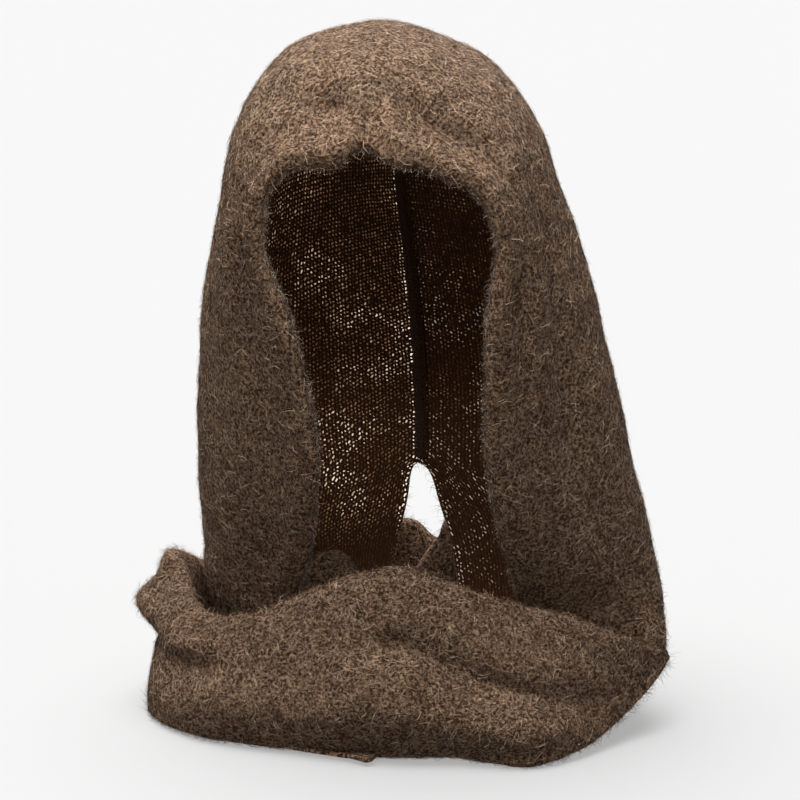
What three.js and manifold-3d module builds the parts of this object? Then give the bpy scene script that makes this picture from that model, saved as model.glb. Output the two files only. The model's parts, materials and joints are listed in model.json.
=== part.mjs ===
// Hooded scarf in brushed wool: two knitted panels joined by one centre seam.
// Each panel is half of the hood and runs on down as a scarf arm. The right arm turns at a
// folded corner and lies across the front and round the left as a ring. The left arm ends
// in a tail that is bunched inside the ring and lies across the back.
// Millimetres, +Z up, face opening towards -Y. The tables count heights from the surface
// that the ring lies on, and the group is then moved so that its origin is the head seat.
import * as THREE from 'three';
import Module from 'manifold-3d';

const wasm = await Module();
wasm.setup();

// Driving dimensions
const WALL = 3.4;           // thickness of the brushed knit
const LIP = 6.0;            // thickness of the rolled selvedge along the face
const LIP_REACH = 11;       // how far the thicker lip reaches into the panel
const SEAM_GAP = 0.4;       // clear space between the two panels along the seam
const SEAM_WIDTH = 4.4;     // overlocked edges standing inside the hood, measured across
const SEAM_DEPTH = 5.6;     // and measured inwards
const SEAM_TIP = 4.5;       // how far their tips lean over to the right
const SEAM_ROOT = 1.4;      // clear space between the seam's middle and the panels
const SEAM_TURN = 26;       // reach of the tight turn of the seam at the back of the head
const CROWN_SEAT = new THREE.Vector3(-13, -5, 457);
const SEAM_LEAN = new THREE.Vector3(1, 0, 0.08).normalize(); // across the leaning seam
const HOOD_MIDDLE = new THREE.Vector3(-13, 0, 250);
const NAPE_ROW = 8;         // the panels are joined from the crown row down to this one

const PANEL_ROWS = 33;
const PANEL_COLUMNS = 17;

// Sections of a panel: f is the face edge, s the side, b the centre back.
// The bends between them are qf (front) and qb (back), from 0.5 slack to 0.75 full.
const LEFT_PANEL = table(`
  row       fx   fy   fz    sx   sy   sz    bx   by   bz   qf   qb
  crown    -21 -107  396   -13   -5  459   -16   80  408  .72  .74
  top      -37 -112  383   -52   -3  451   -16   92  388  .72  .74
  temple   -63 -110  380   -88    0  428   -16   99  362  .72  .74
  brow     -81 -106  361  -110    0  394   -15  104  332  .71  .73
  eye      -83 -103  327  -123    0  347   -11  107  298  .69  .73
  cheek    -70 -100  291  -131    2  292    -7  106  262  .67  .73
  jaw      -60  -97  250  -134    4  236    -3  103  222  .65  .72
  chin     -53  -91  203  -136    5  178    -1   98  180  .64  .70
  nape     -54  -83  164  -134    5  140    -1   94  146  .63  .68
  collar   -59  -71  131  -131    3  108   -13   98  103  .62  .68
  shoulder -69  -56   93  -125    1   74   -21  103   62  .62  .68
  floor    -73  -46   50  -118    0   40   -26  100   32  .62  .68
  hem      -70  -36    9  -111    0    8   -30   90    8  .62  .68`);

const RIGHT_PANEL = table(`
  row       fx   fy   fz    sx   sy   sz    bx   by   bz   qf   qb
  crown    -21 -107  396   -13   -5  459   -16   80  408  .72  .74
  top       -3 -112  386    23   -3  451   -16   92  388  .72  .74
  temple    24 -111  378    59    0  427   -16   99  362  .72  .74
  brow      50 -107  364    83    0  393   -15  104  332  .71  .73
  eye       62 -104  335   101    0  346   -11  107  298  .69  .73
  cheek     58 -100  292   117    2  292    -7  106  262  .67  .73
  jaw       56  -97  250   131    4  236    -3  103  222  .65  .72
  chin      56  -92  203   145    4  178    -1   98  180  .64  .70
  nape      62  -85  165   153    3  140    -1   94  146  .63  .68
  collar    67  -73  130   160    0  108    20  100   99  .62  .68
  shoulder  76  -52   90   166   -8   76    28  104   52  .62  .68
  floor     82  -42   48   168  -18   44    30  104   26  .62  .68
  hem       82  -34    9   146  -18   12    34   92    8  .62  .68`);

// Dents and ridges of a panel: at which row, how far from the face edge, how many rows
// long, how wide, how high (a dent is negative), and how it drifts from row to row.
const LEFT_FOLDS = table(`
  fold     row  dist  long wide lift drift
  brim     1.3    8    1.4  10    4    0
  brow     3.1    7    2.0   9    4    0
  groove   1.3   40    1.2  13   -6   -3
  edge     7.0   14    3.0   9    4    0
  drape    6.0   62    3.5  22    3    5
  swell    6.6  108    3.0  30    4    3
  side     9.5   76    2.4  26    3    0`);

const RIGHT_FOLDS = table(`
  fold     row  dist  long wide lift drift
  brim     0.9   14    1.2  11    5   -5
  ridge    2.6    9    1.6   9    4   -2
  groove   1.1   38    1.3  11   -7  -10
  edge     6.4   14    3.0   9    4    2
  drape    5.2   34    2.0  10    5    4
  hollow   5.4   56    2.2  12   -5    5
  swell    7.5  100    3.0  24    3    6`);

// Sections of a lying band: the crest at x, y, which way is out in degrees, the crest and
// base heights, the crest's roll, how far the belly and the foot stand out from the crest,
// and how far the cloth hangs down inside and lies in underneath.
const FRONT_BAND = table(`
  row       x     y   out   top  base  roll reach foot drop tuck
  tip      171  -19   -40    47   43    5    1    1     3    3
  point    165  -29   -46    52   38    9    2    3    10    6
  corner   149  -44   -56    62   26   13    6    8    24   10
  bias     121  -60   -66    76   11   17   17   20    40   22
  knee      78  -75   -76    92    2   22   42   44    50   34
  mid       34  -82   -84   107    2   24   36   22    54   34
  centre     4  -83   -90   117    2   24   40   22    54   34
  rise     -30  -81   -96   110    2   22   38   22    54   34
  slope    -62  -77  -104    96    2   18   32   20    50   34
  saddle   -98  -70  -112    80    2   14   28   20    46   30
  dip     -124  -58  -128    75    2   10   26   22    44   26
  lip     -143  -36  -150    77    2    9   24   21    40   24
  rim     -151  -12  -168    87    2    9   20   18    40   24
  loop    -155   14  -182   100    2    9   16   16    40   24
  behind  -150   42  -200    87    2    9   14   14    34   22
  under   -138   66  -216    73    2   10   12   10    28   18
  back    -116   92  -230    62    2   12   10    8    20   14
  end      -92  112  -242    48    2   12    8    5    14   10`);

const BACK_BAND = table(`
  row       x     y   out   top  base  roll reach foot drop tuck
  start   -104  -26   150    34    4   12    8    6    12   10
  inner    -82  -14   166    84    2   22   16   12    30   20
  hump     -52   18   150   101    2   30   20   12    44   24
  turn     -62   70   116    62    2   22   12    8    34   16
  left     -48  116   102    90    2   12   12    8    46   16
  gap      -10  135    92    92    2   10   12    8    52   16
  dip       12  137    88    79    2   10   12    8    48   16
  right     54  134    76    88    2   14   14    8    46   16
  end      104  108    52    58    2   14    8    6    24   12`);

const BACK_FLAP = table(`
  row       x     y   out   top  base  roll reach foot drop tuck
  point     -6  114   100    56   42    5    3    2     8    3
  low        0  116    98    68   24    6    4    2    36    4
  middle    12  119    94    84    8    7    5    3    60    5
  high      24  122    90    97    3    8    6    4    70    5
  end       74  126    74    84    3   10    6    4    50    6`);

// Dents and ridges of the front band, at a place along its rows and a height.
const BAND_FOLDS = table(`
  fold     at    z   long wide lift rise
  front    6.2   75   1.3  11   -7    4
  right    4.4   47   1.8  12  -10   16
  swell    4.2   22   2.4  12    5    4
  notch   12.4   50   1.6   8   -8    2
  puff    12.7   70   1.5  16   17    2
  crease  10.0   44   1.5  10   -5   -4
  ridge   10.3   60   1.4  11    5   -6`);

// A hem that lies under the front band and shows as a thin lower layer.
const LOWER_HEM = table(`
  row       x    back  front
  start   -110   -78   -93
  left     -66   -78  -107
  right    -30   -80  -121
  corner   -16   -82  -129
  end      -10   -84  -108`);
const HEM_THICKNESS = 5;

function table(text) {
  const [names, ...rows] = text.trim().split('\n').map((line) => line.trim().split(/\s+/));
  return rows.map((cells) => Object.fromEntries(
    names.map((name, i) => [name, i === 0 ? cells[i] : Number(cells[i])])));
}

// A value of the table between two rows, on a smooth curve through the rows.
function between(rows, place, column, before) {
  const last = rows.length - 1;
  const i = Math.min(Math.floor(place), last - 1);
  const f = place - i;
  const value = (k) => rows[k][column];
  const p1 = value(i);
  const p2 = value(i + 1);
  const p0 = i > 0 ? value(i - 1) : (before ? before[column] : 2 * p1 - p2);
  const p3 = i + 2 <= last ? value(i + 2) : 2 * p2 - p1;
  return 0.5 * (2 * p1 + (p2 - p0) * f + (2 * p0 - 5 * p1 + 4 * p2 - p3) * f * f
    + (3 * p1 - p0 - 3 * p2 + p3) * f * f * f);
}

function section(rows, place, before) {
  const names = Object.keys(rows[0]).filter((name) => typeof rows[0][name] === 'number');
  return Object.fromEntries(names.map((name) => [name, between(rows, place, name, before)]));
}

// The centre back down to the nape, which both panels share.
function seamPoint(rows, place) {
  const joined = rows.slice(0, NAPE_ROW + 1);
  return Object.fromEntries(['bx', 'by', 'bz'].map((name) => [name, between(joined, place, name)]));
}

const smoothCurve = (points) => new THREE.CatmullRomCurve3(points, false, 'catmullrom', 0.5);

const bell = (distance, width) => Math.exp(-((distance / width) ** 2));

// Normals of a grid of points, by the differences between neighbours.
// A corner takes its inner neighbour's, because both its edges may run the same way.
function gridNormals(grid) {
  const rows = grid.length;
  const columns = grid[0].length;
  const inner = (k, count) => THREE.MathUtils.clamp(k, 1, count - 2);
  return grid.map((outerRow, outerI) => outerRow.map((point, outerJ) => {
    const corner = outerI !== inner(outerI, rows) && outerJ !== inner(outerJ, columns);
    const i = corner ? inner(outerI, rows) : outerI;
    const j = corner ? inner(outerJ, columns) : outerJ;
    const along = grid[Math.min(i + 1, rows - 1)][j].clone().sub(grid[Math.max(i - 1, 0)][j]);
    const across = grid[i][Math.min(j + 1, columns - 1)].clone().sub(grid[i][Math.max(j - 1, 0)]);
    return across.cross(along).normalize();
  }));
}

// A hood and arm panel as a grid: rows from the crown down, columns from the face edge
// to the centre back, closer together along the face. side is -1 left, 1 right.
function panelSheet(rows, folds, side) {
  const mirrored = { ...rows[1] };
  for (const column of ['fx', 'sx', 'bx']) mirrored[column] = 2 * rows[0][column] - rows[1][column];
  const distances = [];
  const grid = [];
  for (let i = 0; i <= PANEL_ROWS; i += 1) {
    const place = (i / PANEL_ROWS) * (rows.length - 1);
    const s = section(rows, place, mirrored);
    if (place <= NAPE_ROW) Object.assign(s, seamPoint(rows, place));
    const face = new THREE.Vector3(s.fx, s.fy, s.fz);
    const flank = new THREE.Vector3(s.sx, s.sy, s.sz);
    const back = new THREE.Vector3(s.bx, s.by, s.bz);
    const bend = (end, q) => new THREE.Vector3(
      end.x + q * (flank.x - end.x),
      flank.y + q * (end.y - flank.y),
      end.z + 0.7 * (flank.z - end.z));
    const curve = smoothCurve([face, bend(face, s.qf), flank, bend(back, s.qb), back]);
    const length = curve.getLength();
    const steps = [...Array(PANEL_COLUMNS + 1).keys()].map((j) => j / PANEL_COLUMNS);
    const spread = steps.map((t) => 0.5 * t + 0.5 * t * t);
    distances.push(spread.map((t) => t * length));
    grid.push(spread.map((t) => curve.getPointAt(t)));
  }
  const normals = gridNormals(grid);
  const outward = (i, j) => normals[i][j].clone().multiplyScalar(-side);
  grid.forEach((row, i) => row.forEach((point, j) => {
    const place = (i / PANEL_ROWS) * (rows.length - 1);
    let lift = 0;
    for (const fold of folds) {
      const centre = fold.dist + fold.drift * (place - fold.row);
      lift += fold.lift * bell(place - fold.row, fold.long) * bell(distances[i][j] - centre, fold.wide);
    }
    const fade = Math.min(1, place / 0.8) * Math.min(1, (PANEL_COLUMNS - j) / 4);
    point.addScaledVector(outward(i, j), lift * fade);
  }));
  return { grid, distances };
}

// A lying band as a grid: rows along it, columns from the inner hem over the crest and
// down the outside to the part tucked in underneath.
function bandSheet(rows, { count, columns }, folds) {
  const grid = [];
  for (let i = 0; i <= count; i += 1) {
    const place = (i / count) * (rows.length - 1);
    const s = section(rows, place);
    const height = Math.max(s.top - s.base, 3);
    const r = Math.min(s.roll / 2, height * 0.3);
    const out = 0.45 * r;
    const outline = [
      [-2 * r + 1, s.top - Math.max(s.drop, 1.5 * r)],
      [-2 * r, s.top - 1.1 * r],
      [-0.9 * r, s.top - 0.12 * r],
      [0.1 * r, s.top - 0.35 * r],
      [0.42 * s.reach, s.top - 0.35 * r - 0.22 * (height - r)],
      [0.82 * s.reach, s.base + 0.48 * height],
      [s.reach, s.base + 0.27 * height],
      [0.55 * s.reach + 0.45 * s.foot + 1, s.base + 0.08 * height],
      [s.foot, s.base],
      [s.foot - s.tuck, s.base + 0.8],
    ].map(([n, z]) => new THREE.Vector3(n + out, z, 0));
    const points = smoothCurve(outline).getSpacedPoints(columns);
    const angle = THREE.MathUtils.degToRad(s.out);
    grid.push(points.map(({ x: n, y: z }) => {
      let push = 0;
      for (const fold of folds) {
        const centre = fold.z + fold.rise * (place - fold.at);
        push += fold.lift * bell(place - fold.at, fold.long * 0.75) * bell(z - centre, fold.wide);
      }
      const outer = THREE.MathUtils.clamp((n - 0.1 * s.reach) / 9, 0, 1);
      const reach = n + push * outer;
      return new THREE.Vector3(s.x + Math.cos(angle) * reach, s.y + Math.sin(angle) * reach, z);
    }));
  }
  return grid;
}

// The lower hem: rows across it, columns from under the band to its free front edge.
function hemSheet(rows) {
  const count = 12;
  const z = HEM_THICKNESS / 2 + 0.2;
  return [...Array(count + 1).keys()].map((i) => {
    const s = section(rows, (i / count) * (rows.length - 1));
    return [0, 0.5, 1].map((t) => new THREE.Vector3(s.x, s.back + t * (s.front - s.back), z));
  });
}

// A closed shell from a grid of points, with a wall on both sides of it.
// wall(i, j) is its thickness, and settle(point, normal, i, j) may adjust the edges.
function shell(grid, wall, settle = () => {}) {
  const rows = grid.length;
  const columns = grid[0].length;
  const normals = gridNormals(grid);
  const positions = [];
  for (const sign of [1, -1]) {
    grid.forEach((row, i) => row.forEach((point, j) => {
      const place = point.clone();
      const normal = normals[i][j].clone();
      settle(place, normal, i, j);
      place.addScaledVector(normal, (sign * wall(i, j)) / 2);
      positions.push(place.x, place.y, place.z);
    }));
  }
  const triangles = [];
  const quad = (a, b, c, d) => triangles.push(a, b, c, a, c, d);
  const front = (i, j) => i * columns + j;
  const rear = (i, j) => rows * columns + i * columns + j;
  for (let i = 0; i < rows - 1; i += 1) {
    for (let j = 0; j < columns - 1; j += 1) {
      quad(front(i, j), front(i, j + 1), front(i + 1, j + 1), front(i + 1, j));
      quad(rear(i, j), rear(i + 1, j), rear(i + 1, j + 1), rear(i, j + 1));
    }
    quad(front(i, 0), front(i + 1, 0), rear(i + 1, 0), rear(i, 0));
    quad(front(i, columns - 1), rear(i, columns - 1), rear(i + 1, columns - 1), front(i + 1, columns - 1));
  }
  for (let j = 0; j < columns - 1; j += 1) {
    quad(front(0, j), rear(0, j), rear(0, j + 1), front(0, j + 1));
    quad(front(rows - 1, j), front(rows - 1, j + 1), rear(rows - 1, j + 1), rear(rows - 1, j));
  }
  return solid(positions, triangles);
}

function solid(positions, triangles) {
  const build = (triVerts) => new wasm.Manifold(new wasm.Mesh({
    numProp: 3,
    vertProperties: new Float32Array(positions),
    triVerts: new Uint32Array(triVerts),
  }));
  const made = build(triangles);
  if (made.volume() > 0) return made;
  const flipped = [];
  for (let k = 0; k < triangles.length; k += 3) {
    flipped.push(triangles[k], triangles[k + 2], triangles[k + 1]);
  }
  return build(flipped);
}

function panelSolid(rows, folds, side) {
  const { grid, distances } = panelSheet(rows, folds, side);
  const joinedRow = (NAPE_ROW / (rows.length - 1)) * PANEL_ROWS;
  const wall = (i, j) => WALL + (LIP - WALL) * bell(distances[i][j], LIP_REACH);
  // Along the seam the two walls end square in one leaning surface, a little apart.
  const settle = (point, normal, i, j) => {
    const onSeam = i === 0 || (j === PANEL_COLUMNS && i <= joinedRow);
    if (!onSeam) return;
    normal.addScaledVector(SEAM_LEAN, -normal.dot(SEAM_LEAN)).normalize();
    point.addScaledVector(SEAM_LEAN, (side * SEAM_GAP) / 2);
  };
  return shell(grid, wall, settle);
}

const plainWall = () => WALL;

// Sheets folded out of one piece of cloth, cut clear of the seam, without sealed pockets.
function joined(...sheets) {
  const whole = sheets.reduce((sum, sheet) => sum.add(sheet));
  const pieces = whole.subtract(seamBlade()).decompose();
  return pieces.reduce((a, b) => (b.volume() > a.volume() ? b : a));
}

function leftPanel() {
  return joined(
    panelSolid(LEFT_PANEL, LEFT_FOLDS, -1),
    shell(bandSheet(BACK_BAND, { count: 26, columns: 12 }, []), plainWall),
    shell(bandSheet(BACK_FLAP, { count: 9, columns: 9 }, []), plainWall));
}

function rightPanel() {
  return joined(
    panelSolid(RIGHT_PANEL, RIGHT_FOLDS, 1),
    shell(bandSheet(FRONT_BAND, { count: 46, columns: 15 }, BAND_FOLDS), plainWall),
    shell(hemSheet(LOWER_HEM), () => HEM_THICKNESS));
}

// The line where the panels meet: from the brow over the crown and down to the nape.
// At each step it gives the point, the way into the hood and the length so far.
function seamLine(steps) {
  const { grid } = panelSheet(LEFT_PANEL, [], -1);
  const crown = grid[0].filter((point, j) => j % 2 === 0);
  const back = grid.slice(1, (NAPE_ROW / (LEFT_PANEL.length - 1)) * PANEL_ROWS + 1)
    .map((row) => row[PANEL_COLUMNS])
    .filter((point, i) => i % 2 === 1);
  const line = smoothCurve([...crown, ...back]);
  const occiput = crown[crown.length - 1];
  return [...Array(steps + 1).keys()].map((i) => {
    const point = line.getPointAt(i / steps);
    const inward = line.getTangentAt(i / steps).cross(SEAM_LEAN).normalize();
    if (inward.dot(HOOD_MIDDLE.clone().sub(point)) < 0) inward.negate();
    return { point, inward, turn: bell(point.distanceTo(occiput), SEAM_TURN) };
  });
}

// A thin blade where the seam turns sharply, which keeps the two panels apart there.
function seamBlade() {
  const sheet = seamLine(60).filter(({ turn }) => turn > 0.1).map(({ point, inward }) => (
    [-WALL, WALL].map((depth) => point.clone().addScaledVector(inward, depth))));
  return shell(sheet, () => SEAM_GAP, (point, normal) => normal.copy(SEAM_LEAN));
}

// The overlocked edges of both panels, standing inside the hood along the seam.
function centreSeam() {
  const steps = seamLine(38).slice(1, -1);
  const sheet = steps.map(({ point, inward, turn }) => {
    const root = WALL / 2 + SEAM_ROOT * (1 + 1.7 * turn);
    return [0, 1].map((share) => point.clone()
      .addScaledVector(inward, root + share * SEAM_DEPTH)
      .addScaledVector(SEAM_LEAN, share * SEAM_TIP));
  });
  return shell(sheet, () => SEAM_WIDTH, (point, normal) => normal.copy(SEAM_LEAN));
}

function geometryOf(manifold) {
  const mesh = manifold.getMesh();
  const geometry = new THREE.BufferGeometry();
  geometry.setAttribute('position', new THREE.Float32BufferAttribute(mesh.vertProperties, 3));
  geometry.setIndex([...mesh.triVerts]);
  geometry.computeVertexNormals();
  return geometry;
}

const wool = (color) => new THREE.MeshStandardMaterial({ color, roughness: 0.96, metalness: 0 });

function part(name, manifold, color) {
  const mesh = new THREE.Mesh(geometryOf(manifold), wool(color));
  mesh.name = name;
  mesh.position.copy(CROWN_SEAT).negate();
  return mesh;
}

const group = new THREE.Group();
group.add(part('left_panel', leftPanel(), 0x66503d));
group.add(part('right_panel', rightPanel(), 0x66503d));
group.add(part('centre_seam', centreSeam(), 0x4a3829));

export default group;
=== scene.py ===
# %% [markdown]
# # A hooded scarf in brushed wool
# The real thing is two long knitted strips. Their first halves are sewn together over the
# crown and down the back of the head, which makes a hood. Their second halves run on as the
# arms of a scarf. The wool is brushed until its fibres stand up outside, while the inside
# keeps its plain knitted face. Here the right arm lies in front as a ring, and the left arm
# ends in a bunch inside that ring.
#
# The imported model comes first. It fixes every size and place, and nothing here moves it.

# %% Frame
import json
import math

import bpy
import numpy as np
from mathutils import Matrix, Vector, noise

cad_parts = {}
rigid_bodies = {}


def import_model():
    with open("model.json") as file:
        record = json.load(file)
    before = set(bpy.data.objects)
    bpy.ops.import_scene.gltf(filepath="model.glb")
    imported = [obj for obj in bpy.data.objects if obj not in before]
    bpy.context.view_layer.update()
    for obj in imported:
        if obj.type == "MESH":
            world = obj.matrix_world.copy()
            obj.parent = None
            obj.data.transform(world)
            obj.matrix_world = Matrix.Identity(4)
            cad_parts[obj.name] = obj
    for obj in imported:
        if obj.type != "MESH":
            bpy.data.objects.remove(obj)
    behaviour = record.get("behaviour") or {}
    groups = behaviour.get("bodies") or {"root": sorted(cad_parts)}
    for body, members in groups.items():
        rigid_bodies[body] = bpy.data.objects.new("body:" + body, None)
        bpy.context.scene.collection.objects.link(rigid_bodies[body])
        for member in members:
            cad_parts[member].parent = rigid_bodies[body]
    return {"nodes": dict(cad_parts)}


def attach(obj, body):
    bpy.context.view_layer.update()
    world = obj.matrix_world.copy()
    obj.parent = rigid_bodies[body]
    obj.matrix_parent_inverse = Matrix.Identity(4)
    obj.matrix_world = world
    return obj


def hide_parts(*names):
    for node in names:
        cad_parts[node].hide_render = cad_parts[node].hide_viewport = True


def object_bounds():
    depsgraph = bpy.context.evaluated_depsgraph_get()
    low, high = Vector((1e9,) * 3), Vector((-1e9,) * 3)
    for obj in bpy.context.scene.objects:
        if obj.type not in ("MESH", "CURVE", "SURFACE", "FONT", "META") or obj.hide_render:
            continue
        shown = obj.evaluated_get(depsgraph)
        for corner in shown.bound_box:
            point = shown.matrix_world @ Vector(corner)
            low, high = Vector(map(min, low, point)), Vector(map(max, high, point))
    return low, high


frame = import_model()
cad_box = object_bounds()
floor_height = cad_box[0][2]
print("nodes:", sorted(frame["nodes"]), "floor at", round(floor_height, 4))

# %% [markdown]
# ## Camera
# A long lens far away draws knitwear without swelling what is near. The camera looks a
# little from the right and from above. The tables further down count millimetres from the
# surface that the ring lies on, so one function brings such points into the frame, whose
# origin is the seat on top of the head.

# %% Camera
MM = 0.001
HEAD_SEAT = np.array([-13.0, -5.0, 457.0])
AZIMUTH, ELEVATION = math.radians(4.5), math.radians(13)
DISTANCE = 2.4
SEEN_WIDTH = 0.528
SENSOR = 36
AIM = (-6, 0, 210)


def placed(points):
    """Millimetres above the table, as metres from the head seat."""
    return (np.asarray(points, float) - HEAD_SEAT) * MM


def added(name, data):
    """A new object with this data, in the scene."""
    made = bpy.data.objects.new(name, data)
    bpy.context.scene.collection.objects.link(made)
    return made


camera_data = bpy.data.cameras.new("camera")
camera_data.sensor_width = SENSOR
camera_data.lens = SENSOR * DISTANCE / SEEN_WIDTH
camera = added("camera", camera_data)
towards_camera = Vector((
    math.sin(AZIMUTH) * math.cos(ELEVATION),
    -math.cos(AZIMUTH) * math.cos(ELEVATION),
    math.sin(ELEVATION)))
aim = Vector(placed(AIM))
camera.location = aim + towards_camera * DISTANCE
camera.rotation_euler = (-towards_camera).to_track_quat("-Z", "Y").to_euler()
bpy.context.scene.camera = camera
print("lens", round(camera_data.lens, 1), "mm")

# %% [markdown]
# ## Sections of the cloth
# A sheet of cloth is easiest to shape by its sections, as a tailor takes measurements every
# few centimetres. Each table row is one section, and a smooth curve runs through the rows.
# The f, s and b columns are the face edge, the side and the centre back. The bends between
# them are qf and qb, from slack to full. The same tables shape the model in the frame, so
# the fine cloth lies where the frame has its solids, apart from the few millimetres by which
# it settles further down.

# %% Tables of the two hood and arm panels
LEFT_PANEL = """
  row       fx   fy   fz    sx   sy   sz    bx   by   bz   qf   qb
  crown    -21 -107  396   -13   -5  459   -16   80  408  .72  .74
  top      -37 -112  383   -52   -3  451   -16   92  388  .72  .74
  temple   -63 -110  380   -88    0  428   -16   99  362  .72  .74
  brow     -81 -106  361  -110    0  394   -15  104  332  .71  .73
  eye      -83 -103  327  -123    0  347   -11  107  298  .69  .73
  cheek    -70 -100  291  -131    2  292    -7  106  262  .67  .73
  jaw      -60  -97  250  -134    4  236    -3  103  222  .65  .72
  chin     -53  -91  203  -136    5  178    -1   98  180  .64  .70
  nape     -54  -83  164  -134    5  140    -1   94  146  .63  .68
  collar   -59  -71  131  -131    3  108   -13   98  103  .62  .68
  shoulder -69  -56   93  -125    1   74   -21  103   62  .62  .68
  floor    -73  -46   50  -118    0   40   -26  100   32  .62  .68
  hem      -70  -36    9  -111    0    8   -30   90    8  .62  .68"""

RIGHT_PANEL = """
  row       fx   fy   fz    sx   sy   sz    bx   by   bz   qf   qb
  crown    -21 -107  396   -13   -5  459   -16   80  408  .72  .74
  top       -3 -112  386    23   -3  451   -16   92  388  .72  .74
  temple    24 -111  378    59    0  427   -16   99  362  .72  .74
  brow      50 -107  364    83    0  393   -15  104  332  .71  .73
  eye       62 -104  335   101    0  346   -11  107  298  .69  .73
  cheek     58 -100  292   117    2  292    -7  106  262  .67  .73
  jaw       56  -97  250   131    4  236    -3  103  222  .65  .72
  chin      56  -92  203   145    4  178    -1   98  180  .64  .70
  nape      62  -85  165   153    3  140    -1   94  146  .63  .68
  collar    67  -73  130   160    0  108    20  100   99  .62  .68
  shoulder  76  -52   90   166   -8   76    28  104   52  .62  .68
  floor     82  -42   48   168  -18   44    30  104   26  .62  .68
  hem       82  -34    9   146  -18   12    34   92    8  .62  .68"""
NAPE_ROW = 8

# %% [markdown]
# Folds are small lifts and dents of that surface. A row says where each lies: at which
# section, how far from the face edge, how many sections long, how wide, how high (a dent is
# negative) and how it drifts sideways from one section to the next.

# %% Folds of the panels
LEFT_FOLDS = """
  fold     row  dist  long wide lift drift
  brim     1.3    8    1.4  10    4    0
  brow     3.1    7    2.0   9    4    0
  groove   1.3   40    1.2  13   -6   -3
  edge     7.0   14    3.0   9    4    0
  drape    6.0   62    3.5  22    3    5
  swell    6.6  108    3.0  30    4    3
  side     9.5   76    2.4  26    3    0"""

RIGHT_FOLDS = """
  fold     row  dist  long wide lift drift
  brim     0.9   14    1.2  11    5   -5
  ridge    2.6    9    1.6   9    4   -2
  groove   1.1   38    1.3  11   -7  -10
  edge     6.4   14    3.0   9    4    2
  drape    5.2   34    2.0  10    5    4
  hollow   5.4   56    2.2  12   -5    5
  swell    7.5  100    3.0  24    3    6"""

# %% [markdown]
# Where the two rolled edges meet over the brow, the cloth also gathers in a few short creases.
# They are too fine for the solids, so only the cloth here has them. The ring has two as well:
# its table is kept with the tables of the ring and the tail.

# %% Creases over the brow
LEFT_CREASES = """
  crease   row  dist  long wide lift drift
  hollow   0.5   33    0.6   9   -4   18
  furrow   1.5   52    0.8  11   -6   14
  roll     0.8    9    0.9   7    2    0
  pinch    2.2   30    0.8   7   -2    4
  tuck     4.4   27    1.6   8   -4    6
  lip      4.6    5    2.2   6    2    0"""

RIGHT_CREASES = """
  crease   row  dist  long wide lift drift
  knot     0.4   31    0.5   7    5  -12
  hollow   0.9   44    0.6   8   -5  -16
  pinch    1.9   34    0.7   7   -3    0
  tuck     3.8   33    1.3   8   -4    6
  lip      4.2    5    2.2   6    2    0"""

# %% [markdown]
# The ring and the tail lie on the table, so their sections stand upright instead. A row has
# the crest's place at x and y, which way is out in degrees, the crest's and the base's
# height, the roll of the crest, how far the belly and the foot stand out, and how far the
# cloth hangs inside (drop) and lies in underneath (tuck). A fold here has a height above the
# table in place of a distance, and rise says how that height changes. The hem is a flat
# sliver under the ring, with a back and a front edge.

# %% Tables of the ring and the tail
FRONT_BAND = """
  row       x     y   out   top  base  roll reach foot drop tuck
  tip      171  -19   -40    47   43    5    1    1     3    3
  point    165  -29   -46    52   38    9    2    3    10    6
  corner   149  -44   -56    62   26   13    6    8    24   10
  bias     121  -60   -66    76   11   17   17   20    40   22
  knee      78  -75   -76    92    2   22   42   44    50   34
  mid       34  -82   -84   107    2   24   36   22    54   34
  centre     4  -83   -90   117    2   24   40   22    54   34
  rise     -30  -81   -96   110    2   22   38   22    54   34
  slope    -62  -77  -104    96    2   18   32   20    50   34
  saddle   -98  -70  -112    80    2   14   28   20    46   30
  dip     -124  -58  -128    75    2   10   26   22    44   26
  lip     -143  -36  -150    77    2    9   24   21    40   24
  rim     -151  -12  -168    87    2    9   20   18    40   24
  loop    -155   14  -182   100    2    9   16   16    40   24
  behind  -150   42  -200    87    2    9   14   14    34   22
  under   -138   66  -216    73    2   10   12   10    28   18
  back    -116   92  -230    62    2   12   10    8    20   14
  end      -92  112  -242    48    2   12    8    5    14   10"""

BACK_BAND = """
  row       x     y   out   top  base  roll reach foot drop tuck
  start   -104  -26   150    34    4   12    8    6    12   10
  inner    -82  -14   166    84    2   22   16   12    30   20
  hump     -52   18   150   101    2   30   20   12    44   24
  turn     -62   70   116    62    2   22   12    8    34   16
  left     -48  116   102    90    2   12   12    8    46   16
  gap      -10  135    92    92    2   10   12    8    52   16
  dip       12  137    88    79    2   10   12    8    48   16
  right     54  134    76    88    2   14   14    8    46   16
  end      104  108    52    58    2   14    8    6    24   12"""

BACK_FLAP = """
  row       x     y   out   top  base  roll reach foot drop tuck
  point     -6  114   100    56   42    5    3    2     8    3
  low        0  116    98    68   24    6    4    2    36    4
  middle    12  119    94    84    8    7    5    3    60    5
  high      24  122    90    97    3    8    6    4    70    5
  end       74  126    74    84    3   10    6    4    50    6"""

BAND_FOLDS = """
  fold     at    z   long wide lift rise
  front    6.2   75   1.3  11   -7    4
  right    4.4   47   1.8  12  -10   16
  swell    4.2   22   2.4  12    5    4
  notch   12.4   50   1.6   8   -8    2
  puff    12.7   70   1.5  16   17    2
  crease  10.0   44   1.5  10   -5   -4
  ridge   10.3   60   1.4  11    5   -6"""

BAND_CREASES = """
  crease   at    z   long wide lift rise
  valley   6.1   67   1.0   8   -4    2
  slit     9.2   66   0.8   9   -4    3"""

LOWER_HEM = """
  row       x    back  front
  start   -110   -78   -93
  left     -66   -78  -107
  right    -30   -80  -121
  corner   -16   -82  -129
  end      -10   -84  -108"""


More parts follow.
